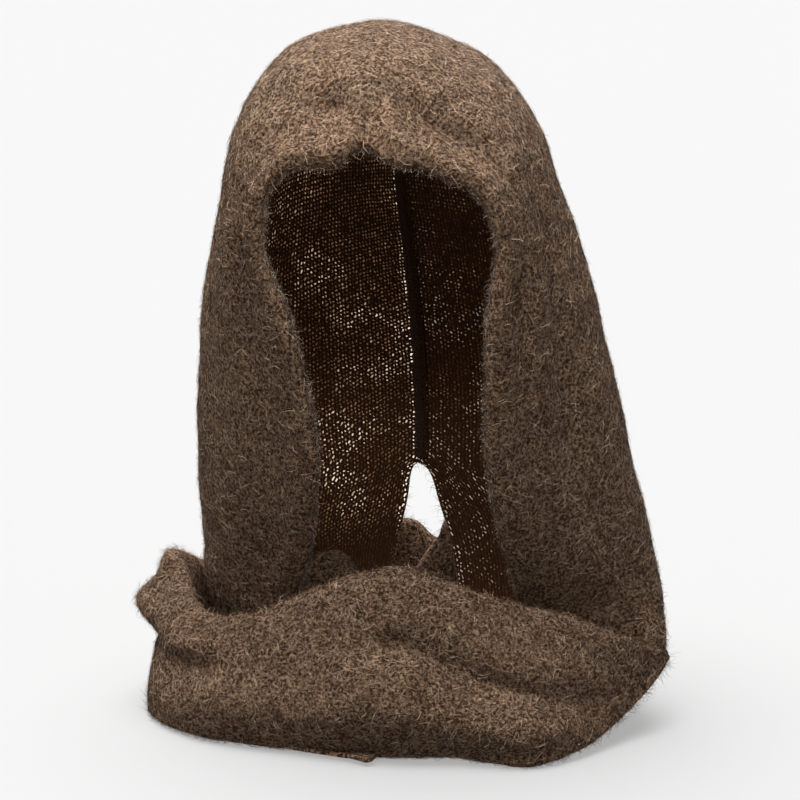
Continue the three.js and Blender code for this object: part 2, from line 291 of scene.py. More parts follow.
def table(text):
    """The rows of a table as dictionaries, with the first column as text."""
    names, *rows = [line.split() for line in text.strip().splitlines()]
    return [
        {name: cell if i == 0 else float(cell) for i, (name, cell) in enumerate(zip(names, row))}
        for row in rows]


print(len(table(FRONT_BAND)), "sections in the ring")

# %% [markdown]
# ## From sections to a surface
# `between` reads one column at any place between two rows. `curves_through` does the same for
# whole points and `even_steps` spaces points along the curves by length, as stitches are
# spaced along yarn, so the mesh has cells of much the same size all over.

# %% Curves through the rows
def cubic(p0, p1, p2, p3, f):
    """A smooth curve from p1 to p2, with p0 and p3 as their neighbours."""
    return 0.5 * (2 * p1 + (p2 - p0) * f + (2 * p0 - 5 * p1 + 4 * p2 - p3) * f**2
                  + (3 * p1 - p0 - 3 * p2 + p3) * f**3)


def between(rows, place, column, before=None):
    """A column's value at each place, on a smooth curve through the rows."""
    values = np.array([row[column] for row in rows])
    start = 2 * values[0] - values[1] if before is None else before[column]
    padded = np.concatenate([[start], values, [2 * values[-1] - values[-2]]])
    i = np.minimum(place.astype(int), len(values) - 2)
    return cubic(*(padded[i + k] for k in range(4)), place - i)


def curves_through(points, steps=240):
    """points is (curves, stations, 3): fine points on one smooth curve for each."""
    padded = np.concatenate(
        [2 * points[:, :1] - points[:, 1:2], points, 2 * points[:, -1:] - points[:, -2:-1]], 1)
    place = np.linspace(0, points.shape[1] - 1, steps)
    i = np.minimum(place.astype(int), points.shape[1] - 2)
    return cubic(*(padded[:, i + k] for k in range(4)), (place - i)[:, None])


def even_steps(curves, shares):
    """Points at these shares of each curve's length, and how far along they are."""
    steps = np.linalg.norm(np.diff(curves, axis=1), axis=2)
    run = np.concatenate([np.zeros((len(curves), 1)), steps.cumsum(1)], 1)
    points = np.empty((len(curves), len(shares), 3))
    for k, (curve, length) in enumerate(zip(curves, run)):
        for axis in range(3):
            points[k, :, axis] = np.interp(shares * length[-1], length, curve[:, axis])
    return points, shares * run[:, -1:]


def bell(distance, width):
    return np.exp(-((distance / width) ** 2))


def unit(vectors):
    return vectors / np.maximum(np.linalg.norm(vectors, axis=-1, keepdims=True), 1e-9)


def normals_of(grid, passes=2):
    """Normals of a grid of points, softened a little so that a thick wall stays smooth."""
    normals = unit(np.cross(np.gradient(grid, axis=1), np.gradient(grid, axis=0)))
    for corner in ((0, 0), (0, -1), (-1, 0), (-1, -1)):
        inner = tuple(3 if k == 0 else -4 for k in corner)
        normals[corner] = normals[inner]
    for _ in range(passes):
        padded = np.pad(normals, ((1, 1), (1, 1), (0, 0)), "edge")
        normals = unit(sum(
            padded[1 + a:padded.shape[0] - 1 + a, 1 + b:padded.shape[1] - 1 + b]
            for a in (-1, 0, 1) for b in (-1, 0, 1)))
    return normals


# %% [markdown]
# ## The hood and arm panels
# One panel is lofted from the crown seam down to the hem. Each section runs from the face
# edge, round the side of the head, to the centre back. The two panels share the line of the
# seam, so they meet there like the real ones.

# %% Panel surface
PANEL_SIZE = (190, 118)
SEAM_FADE_ROWS = 0.8
BACK_FADE = 17 / 4
BEND_DROP = 0.7


def panel_sheet(rows, folds, side):
    """The panel's grid in millimetres, the distance from the face edge and the place in rows.
    side turns the grid's own normals outward: 1 on the left panel, -1 on the right."""
    count, columns = PANEL_SIZE
    place = np.linspace(0, len(rows) - 1, count + 1)
    before = dict(rows[1])
    for column in ("fx", "sx", "bx"):
        before[column] = 2 * rows[0][column] - rows[1][column]
    s = {name: between(rows, place, name, before) for name in rows[0] if name != "row"}
    joined = place <= NAPE_ROW
    for name in ("bx", "by", "bz"):
        s[name][joined] = between(rows[:NAPE_ROW + 1], place[joined], name)
    face, flank, back = (np.stack([s[k + axis] for axis in "xyz"], 1) for k in "fsb")

    def bend(end, q):
        return np.stack([
            end[:, 0] + q * (flank[:, 0] - end[:, 0]),
            flank[:, 1] + q * (end[:, 1] - flank[:, 1]),
            end[:, 2] + BEND_DROP * (flank[:, 2] - end[:, 2])], 1)

    stations = np.stack([face, bend(face, s["qf"]), flank, bend(back, s["qb"]), back], 1)
    t = np.linspace(0, 1, columns + 1)
    grid, distance = even_steps(curves_through(stations), 0.5 * t + 0.5 * t * t)
    fade = np.minimum(1, place / SEAM_FADE_ROWS)[:, None] * np.minimum(1, (1 - t) * BACK_FADE)
    lift = np.zeros_like(distance)
    for fold in folds:
        off = (place - fold["row"])[:, None]
        centre = fold["dist"] + fold["drift"] * off
        lift += fold["lift"] * bell(off, fold["long"]) * bell(distance - centre, fold["wide"])
    grid += normals_of(grid) * (side * lift * fade)[..., None]
    return grid, distance, np.broadcast_to(place[:, None], distance.shape)


left_folds = table(LEFT_FOLDS) + table(LEFT_CREASES)
right_folds = table(RIGHT_FOLDS) + table(RIGHT_CREASES)
left_grid, left_distance, left_place = panel_sheet(table(LEFT_PANEL), left_folds, 1)
right_grid, right_distance, right_place = panel_sheet(table(RIGHT_PANEL), right_folds, -1)
print("panel width", left_distance[:, -1].min().round(), "to", left_distance[:, -1].max().round(), "mm")

# %% [markdown]
# ## The ring and the tail
# A lying band is cut across like a pillow roll: down inside, over the crest, out to the belly
# and back in underneath. Cloth that is folded double has a round crest, so each section is a
# smooth curve through a few stations that follow from the row's height and roll.

# %% Band surface
def columns_of(rows, count):
    """Even places along the rows, and every column's values there."""
    place = np.linspace(0, len(rows) - 1, count + 1)
    return place, {name: between(rows, place, name) for name in rows[0] if name != "row"}


def band_sheet(rows, folds, count, columns):
    """The band's grid in millimetres, rows along it and columns from inside to underneath."""
    place, s = columns_of(rows, count)
    height = np.maximum(s["top"] - s["base"], 3)
    r = np.minimum(s["roll"] / 2, height * 0.3)
    top, base, reach, foot = s["top"], s["base"], s["reach"], s["foot"]
    outline = [
        (-2 * r + 1, top - np.maximum(s["drop"], 1.5 * r)),
        (-2 * r, top - 1.1 * r),
        (-0.9 * r, top - 0.12 * r),
        (0.1 * r, top - 0.35 * r),
        (0.42 * reach, top - 0.35 * r - 0.22 * (height - r)),
        (0.82 * reach, base + 0.48 * height),
        (reach, base + 0.27 * height),
        (0.55 * reach + 0.45 * foot + 1, base + 0.08 * height),
        (foot, base),
        (foot - s["tuck"], base + 0.8)]
    stations = np.stack([np.stack([n + 0.45 * r, z, 0 * z], 1) for n, z in outline], 1)
    points, distance = even_steps(curves_through(stations), np.linspace(0, 1, columns + 1))
    n, z = points[..., 0], points[..., 1]
    push = np.zeros_like(n)
    for fold in folds:
        off = (place - fold["at"])[:, None]
        centre = fold["z"] + fold["rise"] * off
        push += fold["lift"] * bell(off, fold["long"] * 0.75) * bell(z - centre, fold["wide"])
    n = n + push * np.clip((n - 0.1 * reach[:, None]) / 9, 0, 1)
    angle = np.radians(s["out"])[:, None]
    grid = np.stack([s["x"][:, None] + np.cos(angle) * n, s["y"][:, None] + np.sin(angle) * n, z], 2)
    return grid, distance


band_folds = table(BAND_FOLDS) + table(BAND_CREASES)
ring_grid, ring_distance = band_sheet(table(FRONT_BAND), band_folds, 256, 84)
tail_grid, tail_distance = band_sheet(table(BACK_BAND), [], 150, 56)
flap_grid, flap_distance = band_sheet(table(BACK_FLAP), [], 60, 44)


HEM_HEIGHT = 3.0


def hem_sheet(rows, count=70, columns=16):
    """The flat sliver of hem that shows under the ring."""
    s = columns_of(rows, count)[1]
    t = np.linspace(0, 1, columns + 1)
    y = s["back"][:, None] + t * (s["front"] - s["back"])[:, None]
    x = np.broadcast_to(s["x"][:, None], y.shape)
    return np.stack([x, y, np.full_like(y, HEM_HEIGHT)], 2), y - y[:, :1]


hem_grid, hem_distance = hem_sheet(table(LOWER_HEM))
print("ring", ring_grid.shape, "tail", tail_grid.shape)

# %% [markdown]
# ## Unevenness
# Brushed wool is never flat: it felts into soft lumps of a few millimetres to a few
# centimetres. Smooth noise from Blender's own noise library moves the points along the
# normals. It is taken at the point's own place, so it is the same in every run.

# %% Lumps
LUMPS = ((46, 1.5), (17, 0.8), (7, 0.45))


def lumpy(grid, side, amount=1.0, shift=0):
    """The grid with soft lumps: pairs of size and height in millimetres."""
    normals = normals_of(grid)
    lift = np.zeros(grid.shape[:2])
    for size, height in LUMPS:
        places = (grid.reshape(-1, 3) / size + shift).tolist()
        lift += height * np.array([noise.noise(p) for p in places]).reshape(lift.shape)
    return grid + normals * (side * amount * lift)[..., None]


# %% [markdown]
# ## How the cloth settles
# Cloth gives way under its own weight, so no part of a real scarf keeps to its pattern. Each
# row here is a soft push: where its middle is, how far it reaches across and up, and how far it
# moves the cloth. Below the nape the two free edges also spring apart, and behind the hood the
# foot of the lying end is drawn in.

# %% Pushes
SETTLING = """
  push      x    z  wide tall    dx    dz
  crown   -80  446    36   26  -2.5   3.0
  peak     20  456    24   26   0.0  -3.0
  temple -136  352    32   75   5.8   0.0
  cheek   108  372    28   55  -2.5   0.0
  horn   -162   97    30   13  -7.0  -1.5
  belly  -166   32    30   22   3.0   0.0"""
PARTING = {1: 4.5, -1: 6.5}
PARTING_RAMP, PARTING_ROW, PARTING_LONG, PARTING_WIDE = 0.1, 0.2, 0.4, 18
SLUMP, SLUMP_HEIGHT, SLUMP_TALL, SLUMP_FROM = 9, 56, 26, 100


def settled(grid):
    """The grid after all the soft pushes, in millimetres."""
    moved = grid.copy()
    for push in table(SETTLING):
        share = bell(grid[..., 0] - push["x"], push["wide"]) * bell(grid[..., 2] - push["z"], push["tall"])
        moved[..., 0] += push["dx"] * share
        moved[..., 2] += push["dz"] * share
    return moved


def slumped(grid):
    """The lying end behind the hood, with the foot of its inner side drawn towards the hood."""
    share = bell(grid[..., 2] - SLUMP_HEIGHT, SLUMP_TALL) * (grid[..., 1] > SLUMP_FROM)
    return grid - np.array([0, SLUMP, 0]) * share[..., None]


def parted(grid, distance, place, side):
    """The panel's grid with its free back edge drawn aside just below the nape."""
    below = place[:, :1] - NAPE_ROW
    share = np.clip(below / PARTING_RAMP, 0, 1) * bell(below - PARTING_ROW, PARTING_LONG)
    aside = PARTING[side] * share * bell(distance[:, -1:] - distance, PARTING_WIDE)
    return grid - np.array([side, 0, 0]) * aside[..., None]


# %% [markdown]
# ## Thick cloth
# The cloth is a closed shell: an outer face, an inner face and a round edge between them.
# Solidify could thicken a surface too, but its edge is square, and brushed wool ends in a soft
# roll. The seam edge stays flat, because the other panel meets it there.

# %% Shell
WALL = 3.4
ROUND_STEPS = (45, 0, -45)


def rim_of(rows, columns):
    """Grid places round the edge of a grid, in order."""
    i = np.arange(rows)
    j = np.arange(columns)
    return np.concatenate([
        np.stack([0 * j, j], 1)[:-1],
        np.stack([i, 0 * i + columns - 1], 1)[:-1],
        np.stack([0 * j + rows - 1, j[::-1]], 1)[:-1],
        np.stack([i[::-1], 0 * i], 1)[:-1]])


def thick_cloth(grid, wall, side, flat_edge=None):
    """Points, faces, which face is inner, and each point's place in the grid."""
    rows, columns = grid.shape[:2]
    normals = normals_of(grid) * side
    half = (wall / 2)[..., None]
    outer = grid + normals * half
    inner = grid - normals * half
    rim = rim_of(rows, columns)
    i, j = rim.T
    along = unit(np.gradient(grid, axis=0))
    across = unit(np.gradient(grid, axis=1))
    lengthwise = (i == rows - 1).astype(int) - (i == 0)
    sideways = (j == columns - 1).astype(int) - (j == 0)
    away = unit(along[i, j] * lengthwise[:, None] + across[i, j] * sideways[:, None])
    bulge = np.ones((len(rim), 1)) if flat_edge is None else 1 - flat_edge[i, j][:, None]
    loops = [
        grid[i, j] + half[i, j] * (away * math.cos(a) * bulge + normals[i, j] * math.sin(a))
        for a in map(math.radians, ROUND_STEPS)]
    points = np.concatenate([outer.reshape(-1, 3), inner.reshape(-1, 3), *loops])
    where = np.concatenate([np.arange(rows * columns)] * 2 + [i * columns + j] * len(loops))
    index = np.arange(rows * columns).reshape(rows, columns)
    quads = np.stack([index[:-1, :-1], index[:-1, 1:], index[1:, 1:], index[1:, :-1]], 2).reshape(-1, 4)
    chain = [index[i, j]]
    start = 2 * rows * columns
    for k in range(len(loops)):
        chain.append(start + k * len(rim) + np.arange(len(rim)))
    chain.append(index[i, j] + rows * columns)
    strips = [
        np.stack([a, b, np.roll(b, -1), np.roll(a, -1)], 1)
        for a, b in zip(chain, chain[1:])]
    faces = np.concatenate([quads, quads[:, ::-1] + rows * columns, *strips])
    is_inner = np.zeros(len(faces), int)
    is_inner[len(quads):2 * len(quads)] = 1
    return points, faces, is_inner, where


def signed_volume(points, faces):
    a, b, c, d = (points[faces[:, k]] for k in range(4))
    return ((a * np.cross(b, c)).sum() + (a * np.cross(c, d)).sum()) / 6


def cloth_piece(name, sheets, materials):
    """One object from several shells. Each sheet is (grid, wall, side, uv, flat_edge, inner)."""
    points, faces, slots, uvs = [], [], [], []
    first = 0
    for grid, wall, side, uv, flat_edge, inner_slot in sheets:
        p, f, is_inner, where = thick_cloth(grid, wall, side, flat_edge)
        if signed_volume(p, f) < 0:
            f = f[:, ::-1]
        points.append(placed(p))
        faces.append(f + first)
        slots.append(is_inner * inner_slot)
        uvs.append(uv.reshape(-1, 2)[where])
        first += len(p)
    faces = np.concatenate(faces)
    mesh = bpy.data.meshes.new(name)
    mesh.from_pydata(np.concatenate(points), [], faces)
    mesh.shade_smooth()
    for material in materials:
        mesh.materials.append(material)
    mesh.polygons.foreach_set("material_index", np.concatenate(slots).astype(np.int32))
    layer = mesh.uv_layers.new(name="knit")
    layer.data.foreach_set("uv", np.concatenate(uvs)[faces.ravel()].astype(np.float32).ravel())
    return added(name, mesh)


# %% [markdown]
# ## Node maths
# A material is easier to read as sums. `Socket` stands for a value in a material, and
# Python's operators on it add the Math nodes. `Paint.node` adds any other node: first its
# settings, then the values or links of its inputs.

# %% Shader helper
class Socket:
    """An output of one node. The operators add Math nodes to the same material."""

    def __init__(self, paint, link):
        self.paint = paint
        self.link = link

    def math(self, operation, *values):
        return self.paint.node("Math", {"operation": operation}, dict(enumerate(values)))

    def __add__(self, other):
        return self.math("ADD", self, other)

    def __sub__(self, other):
        return self.math("SUBTRACT", self, other)

    def __rsub__(self, other):
        return self.math("SUBTRACT", other, self)

    def __mul__(self, other):
        return self.math("MULTIPLY", self, other)

    def __pow__(self, other):
        return self.math("POWER", self, other)

    def fraction(self):
        return self.math("FRACT", self)

    def floor(self):
        return self.math("FLOOR", self)

    def size(self):
        return self.math("ABSOLUTE", self)

    def above(self, low, high):
        """0 under low, 1 over high and smooth between."""
        return self.paint.node("MapRange", {"interpolation_type": "SMOOTHSTEP"}, {
            "Value": self, "From Min": low, "From Max": high})

    __radd__ = __add__
    __rmul__ = __mul__


class Paint:
    """One material and the nodes that lead to its Principled shader."""

    def __init__(self, name, **constants):
        self.material = bpy.data.materials.new(name)
        self.material.use_nodes = True
        self.tree = self.material.node_tree
        self.shader = self.tree.nodes["Principled BSDF"]
        for socket, value in constants.items():
            self.shader.inputs[socket.replace("_", " ")].default_value = value

    def node(self, kind, settings, inputs, output=0):
        made = self.tree.nodes.new("ShaderNode" + kind)
        stops = settings.pop("stops", None)
        for name, value in settings.items():
            setattr(made, name, value)
        if stops:
            ramp = made.color_ramp.elements
            for _ in stops[2:]:
                ramp.new(0.5)
            for element, (place, colour) in zip(ramp, stops):
                element.position = place
                element.color = (*colour, 1)
        for name, value in inputs.items():
            self.feed(made.inputs[name], value)
        return Socket(self, made.outputs[output])

    def feed(self, socket, value):
        if isinstance(value, Socket):
            self.tree.links.new(value.link, socket)
        elif isinstance(value, tuple) and len(value) == 3 and len(socket.default_value) == 4:
            socket.default_value = (*value, 1)
        else:
            socket.default_value = value

    def place(self):
        return self.node("TexCoord", {}, {}, "Object")

    def knit(self):
        return self.node("UVMap", {"uv_map": "knit"}, {})

    def turned(self, vector, degrees, scale):
        """A vector turned in the plane of the cloth and stretched."""
        return self.node("Mapping", {}, {
            "Vector": vector, "Rotation": (0, 0, math.radians(degrees)), "Scale": scale})

    def noise(self, vector, scale, detail=3.0, rough=0.55, warp=0.0):
        return self.node("TexNoise", {}, {
            "Vector": vector, "Scale": scale, "Detail": detail, "Roughness": rough,
            "Distortion": warp})

    def mix(self, share, a, b):
        return self.node("Mix", {"data_type": "RGBA"}, {0: share, 6: a, 7: b}, 2)

    def finish(self, **looks):
        for socket, value in looks.items():
            self.feed(self.shader.inputs[socket.replace("_", " ")], value)
        return self.material


def tone(red, green, blue):
    """A colour given in 0 to 255, as the light that it stands for."""
    return tuple(
        c / 12.92 if c <= 0.04045 else ((c + 0.055) / 1.055) ** 2.4
        for c in (red / 255, green / 255, blue / 255))


# %% [markdown]
# ## Brushed wool
# The yarn is spun from undyed dark, brown and fair fibres, so the colour changes from fibre to
# fibre and clouds over a few centimetres. Stretched noise crosses its own middle value along
# thin winding lines, and those lines are the matted hairs, fair ones over dark ones. The same
# hairs and rounder tufts drive the bump.

# %% Outer wool
WOOL_DARK = tone(43, 27, 18)
WOOL_MID = tone(85, 55, 37)
WOOL_LIGHT = tone(127, 88, 60)
HAIR_DARK = tone(20, 13, 10)
HAIR_FAIR = tone(228, 191, 156)


def winding_hairs(paint, knit, size, angles, thin):
    """Thin winding lines in several directions: 1 on a line and 0 beside it."""
    lines = None
    for angle in angles:
        field = paint.noise(
            paint.turned(knit, angle, (1 / size, 0.10 / size, 1)), 1.0, 1.0, 0.5, 1.7)
        line = (1 - (field - 0.5).size() * thin).above(0.0, 1.0)
        lines = line if lines is None else lines.math("MAXIMUM", lines, line)
    return lines


def brushed_wool(name):
    paint = Paint(name, Roughness=0.95, Sheen_Weight=0.05, Specular_IOR_Level=0.08)
    place, knit = paint.place(), paint.knit()
    clouds = paint.noise(place, 24, 3.0, 0.6)
    patches = paint.noise(place, 110, 2.0, 0.6, 0.6)
    tufts = paint.noise(place, 300, 4.0, 0.7, 0.8)
    grit = paint.noise(place, 1100, 2.0, 0.7)
    fair = winding_hairs(paint, knit, 0.0009, (18, -38, 66, -82), 13.0)
    dark = winding_hairs(paint, knit, 0.0011, (-12, 46, 88), 12.0)
    strength = paint.noise(place, 520, 2.0, 0.6).above(0.36, 0.66)
    value = clouds * 0.5 + patches * 0.7 + tufts * 0.6 + grit * 0.7
    ground = paint.node("ValToRGB", {"stops": [
        (0.38, WOOL_DARK), (0.5, WOOL_MID), (0.62, WOOL_LIGHT)]}, {0: value * (1 / 2.5)})
    shaded = paint.mix(dark * (1 - strength) * 0.45, ground, HAIR_DARK)
    colour = paint.mix(fair * strength * 0.8, shaded, HAIR_FAIR)
    height = tufts * 0.6 + fair * 0.3 + grit * 0.3
    bump = paint.node("Bump", {}, {"Strength": 1.0, "Distance": 0.0015, "Height": height})
    return paint.finish(Base_Color=colour, Normal=bump)


wool = brushed_wool("brushed_wool")

# %% [markdown]
# ## Knitted inside
# Inside, the stitches stand in straight columns, and each column sits half a stitch lower than
# the next. Where a single layer has daylight behind it, a pinhole of light shows in each
# stitch. Real holes that small would need millions of faces, so each one is painted light: a
# dot that glows from the inner face, in the knit's own coordinates. A random value for each
# stitch decides how open it is, and so how brightly it glows. Low down and under the crown
# the glow thins out as painted shade, and the right wall, which lies in shade, glows less.

# %% Inner knit
WALE, COURSE = 0.0024, 0.0031
STRIP = 0.30
EVENING = (0.165, 0.092, 0.05)
DAYLIGHT = (1.0, 0.88, 0.70)
UNDER_CROWN = (-0.27, -0.12)


def knitted_inside(name, dark, light, glow, open_from, small, low, fade):
    """The inner face, whose pinholes are painted light that glows. A higher open_from leaves
    fewer pinholes, and small makes them smaller. They begin at the height low, and fade thins
    them out under the crown: both fades are painted shade."""
    paint = Paint(name, Roughness=0.95, Specular_IOR_Level=0.1, Emission_Strength=glow)
    place, knit = paint.place(), paint.knit()
    parts = [paint.node("SeparateXYZ", {}, {"Vector": knit}, k) for k in (0, 1)]
    high = paint.node("SeparateXYZ", {}, {"Vector": place}, 2)
    wander = paint.noise(place, 45, 2.0) - 0.5
    jitter = paint.noise(place, 330, 1.0) - 0.5
    across = parts[0] * (1 / WALE) + wander * 0.7 + jitter * 1.1
    column = across.floor()
    down = parts[1] * (1 / COURSE) + (column * 0.5).fraction() + wander * 1.0 - jitter * 1.4
    from_wale = (across.fraction() - 0.5).size()
    from_course = (down.fraction() - 0.5).size()
    spread = (from_wale * 3.4 * small) ** 2.0 + (from_course * 3.9 * small) ** 2.0
    hole = 1 - spread.above(0.35, 1.15)
    stitch = paint.node("CombineXYZ", {}, {"X": column, "Y": down.floor()})
    openness = paint.node("TexWhiteNoise", {"noise_dimensions": "2D"}, {"Vector": stitch})
    clouds = paint.noise(place, 20, 3.0, 0.65).above(0.40, 0.60)
    # Painted shade: the glow thins out below the height low and, by fade, under the crown.
    height_share = (high.above(low - 0.04, low) * 0.88 + 0.12) * (1 - high.above(*UNDER_CROWN) * fade)
    # The open stitches along the selvedge glow as well, as painted light.
    selvedge = parts[0].above(STRIP - 0.006, STRIP - 0.004)
    share = openness.above(open_from, 1.05) * (clouds * 0.7 + 0.3) * height_share
    lit = hole * (share + selvedge * openness * height_share)
    ridge = 1 - from_wale * 2
    fuzz = paint.noise(place, 700, 3.0, 0.65)
    colour = paint.mix((ridge * 0.5 + fuzz * 0.6) * (1 - hole * 0.4), dark, light)
    # The glow is emission: painted light, from a dim evening tone up to daylight.
    glow_colour = paint.node("ValToRGB", {"stops": [
        (0.0, (0, 0, 0)), (0.42, EVENING), (1.0, DAYLIGHT)]}, {0: lit})
    bump = paint.node("Bump", {}, {
        "Strength": 0.8, "Distance": 0.001, "Height": ridge * 0.6 + fuzz * 0.5 - hole * 0.5})
    return paint.finish(Base_Color=colour, Emission_Color=glow_colour, Normal=bump)


# Painted light and shade: the right wall's copy glows far less, with fewer and smaller pinholes, as the
# wall in shade.
knit_left = knitted_inside(
    "knitted_inside_left", tone(64, 40, 25), tone(120, 80, 52), 1.1, -0.16, 1.06, -0.335, 0.42)
knit_right = knitted_inside(
    "knitted_inside_right", tone(66, 41, 26), tone(126, 84, 54), 0.42, 0.02, 1.25, -0.395, 0.40)

# %% [markdown]
# ## The pieces of cloth
# The strips are 0.30 m wide, and each one is a single object: half the hood, its arm, and the
# stretch of ring or tail that the arm becomes.

# %% Cloth pieces
CURL_RADIUS, CURL_TURN, CURL_STEPS, CURL_PULL = 2.8, math.radians(215), 9, 24
CURL_SEAM_ROWS, ROUGH_SEAM_ROWS, ROUGH_SEAM_WIDE = 0.7, 0.5, 8
EDGE_THICKER, EDGE_WIDE = 0.9, 12


def strip_uv(grid, distance, width):
    """Knit coordinates in metres: across the strip and down its wales."""
    step = np.linalg.norm(np.diff(grid, axis=0), axis=2).mean(1)
    run = np.concatenate([[0], step.cumsum()]) * MM
    across = distance / distance[:, -1:] * width
    return np.stack([across, np.broadcast_to(run[:, None], across.shape)], 2)


def curled(grid, distance, place, side):
    """Rolls the face edge inwards, as knitted edges do. The opening keeps its outline, because
    the cloth first draws back by the roll's own size."""
    drawn = CURL_RADIUS + WALL / 2
    across = unit(np.gradient(grid, axis=1))
    grid = grid + across * (drawn * bell(distance, CURL_PULL))[..., None]
    seam_share = np.clip(1 - place[:, :1] / CURL_SEAM_ROWS, 0, 1) * np.array([1.0, 0.0, 0.0])
    outward = normals_of(grid)[:, 0] * side
    outward = unit(outward - outward * seam_share)
    to_edge = grid[:, 0] - grid[:, 3]
    to_edge = unit(to_edge - to_edge * seam_share)
    to_edge = unit(to_edge - outward * (to_edge * outward).sum(1, keepdims=True))
    turns = np.linspace(CURL_TURN, 0, CURL_STEPS, endpoint=False)
    roll = np.stack([
        grid[:, 0] + CURL_RADIUS * (math.sin(a) * to_edge + (math.cos(a) - 1) * outward)
        for a in turns], 1)
    ahead = np.broadcast_to(-CURL_RADIUS * turns, roll.shape[:2])
    return np.concatenate([roll, grid], 1), np.concatenate([ahead, distance], 1)


def panel_parts(grid, distance, place, side, shift):
    """Settles, rolls and roughens a panel, and leaves the seam edge as it is."""
    grid = settled(parted(grid, distance, place, side))
    grid, distance = curled(grid, distance, place, side)
    place = np.broadcast_to(place[:, :1], distance.shape)
    edge = np.zeros(grid.shape[:2])
    edge[0] = 1
    edge[:, -1] = place[:, -1] <= NAPE_ROW
    from_seam = (distance[:, -1:] - distance) / ROUGH_SEAM_WIDE + (place > NAPE_ROW)
    free = np.minimum(1, place / ROUGH_SEAM_ROWS) * np.minimum(1, from_seam)
    rough = grid + (lumpy(grid, side, 1.0, shift) - grid) * free[..., None]
    wall = WALL + EDGE_THICKER * bell(distance, EDGE_WIDE)
    return rough, wall, side, strip_uv(grid, distance, STRIP), edge, 1


def band_parts(grid, distance, shift, amount=1.0, side=-1):
    rough = lumpy(settled(grid), side, amount, shift)
    wall = np.full(grid.shape[:2], WALL)
    return rough, wall, side, strip_uv(grid, distance, STRIP / 2), None, 0


left_parts = panel_parts(left_grid, left_distance, left_place, 1, 3.1)
right_parts = panel_parts(right_grid, right_distance, right_place, -1, 7.7)
ring_parts = band_parts(ring_grid, ring_distance, 11.3)
tail_parts = band_parts(slumped(tail_grid), tail_distance, 5.9)
flap_parts = band_parts(slumped(flap_grid), flap_distance, 2.3, 0.6)
hem_parts = band_parts(hem_grid, hem_distance, 9.1, 0.5, 1)
left_strip = cloth_piece("left_strip", [left_parts, tail_parts, flap_parts], [wool, knit_left])
right_strip = cloth_piece("right_strip", [right_parts, ring_parts, hem_parts], [wool, knit_right])
print("faces", len(left_strip.data.polygons), len(right_strip.data.polygons))

# %% [markdown]
# ## The seam inside
# The two strips are overlocked together, so two raw edges stand inside the hood from the brow
# to the nape, with a thread that whips over them. The plies are two narrow sheets, and the
# thread is a bent tube whose path loops from one ply over the edge to the other.

# %% Seam line
SEAM_LEAN = unit(np.array([1.0, 0.0, 0.08]))
HOOD_MIDDLE = np.array([-13.0, 0.0, 250.0])
SEAM_ROOT, SEAM_DEPTH, SEAM_TURN, SEAM_TIP = 1.4, 5.6, 26, 4.5
TURN_ROOT = 1.7
RIPPLE_SIZE, RIPPLE_DEPTH = 9, 0.8
PLY_WIDTH = 0.006
THREAD_RADIUS = 0.00042
plain_left = panel_sheet(table(LEFT_PANEL), [], 1)[0]
joined_rows = int(NAPE_ROW / (len(table(LEFT_PANEL)) - 1) * PANEL_SIZE[0])
seam_path = np.concatenate([plain_left[0], plain_left[1:joined_rows + 1, -1]])[None]


def seam_line(steps):
    """Points along the seam, the way into the hood, and how deep its root lies. The root lies
    deeper at the tight turn behind the crown, where the cloth would cover it."""
    line = even_steps(seam_path, np.linspace(0.004, 0.996, steps))[0][0]
    inward = unit(np.cross(np.gradient(line, axis=0), SEAM_LEAN))
    inward *= np.sign(((HOOD_MIDDLE - line) * inward).sum(1, keepdims=True))
    turn = bell(np.linalg.norm(line - plain_left[0, -1], axis=1), SEAM_TURN)
    return line, inward, WALL / 2 + SEAM_ROOT * (1 + TURN_ROOT * turn)


def seam_ply(offset, thick, deep, wave, shift):
    """One raw edge as a sheet: rows along the seam, columns from its root inwards."""
    line, inward, root = seam_line(420)
    t = np.linspace(0, 1, 7)
    places = (line / RIPPLE_SIZE + shift).tolist()
    ripple = np.array([noise.noise(p) for p in places])
    depth = root[:, None] + t * (deep + RIPPLE_DEPTH * ripple)[:, None]
    lean = offset + SEAM_TIP * t + wave * ripple[:, None] * t
    grid = line[:, None] + inward[:, None] * depth[..., None] + SEAM_LEAN * lean[..., None]
    distance = np.broadcast_to(t * deep, depth.shape)
    return grid, np.full(depth.shape, thick), 1, strip_uv(grid, distance, PLY_WIDTH), None, 0


def seam_thread(steps_per_stitch=8, pitch=2.6):
    """The path of the whipping thread, over both plies."""
    length = np.linalg.norm(np.diff(seam_path[0], axis=0), axis=1).sum()
    stitches = int(length / pitch)
    line, inward, root = seam_line(stitches * steps_per_stitch)
    phase = np.arange(len(line)) / steps_per_stitch * 2 * np.pi
    share = 0.55 + 0.5 * np.cos(phase)
    depth = root + SEAM_DEPTH * share
    lean = 2.5 * np.sin(phase) + SEAM_TIP * share
    return line + inward * depth[:, None] + SEAM_LEAN * lean[:, None]


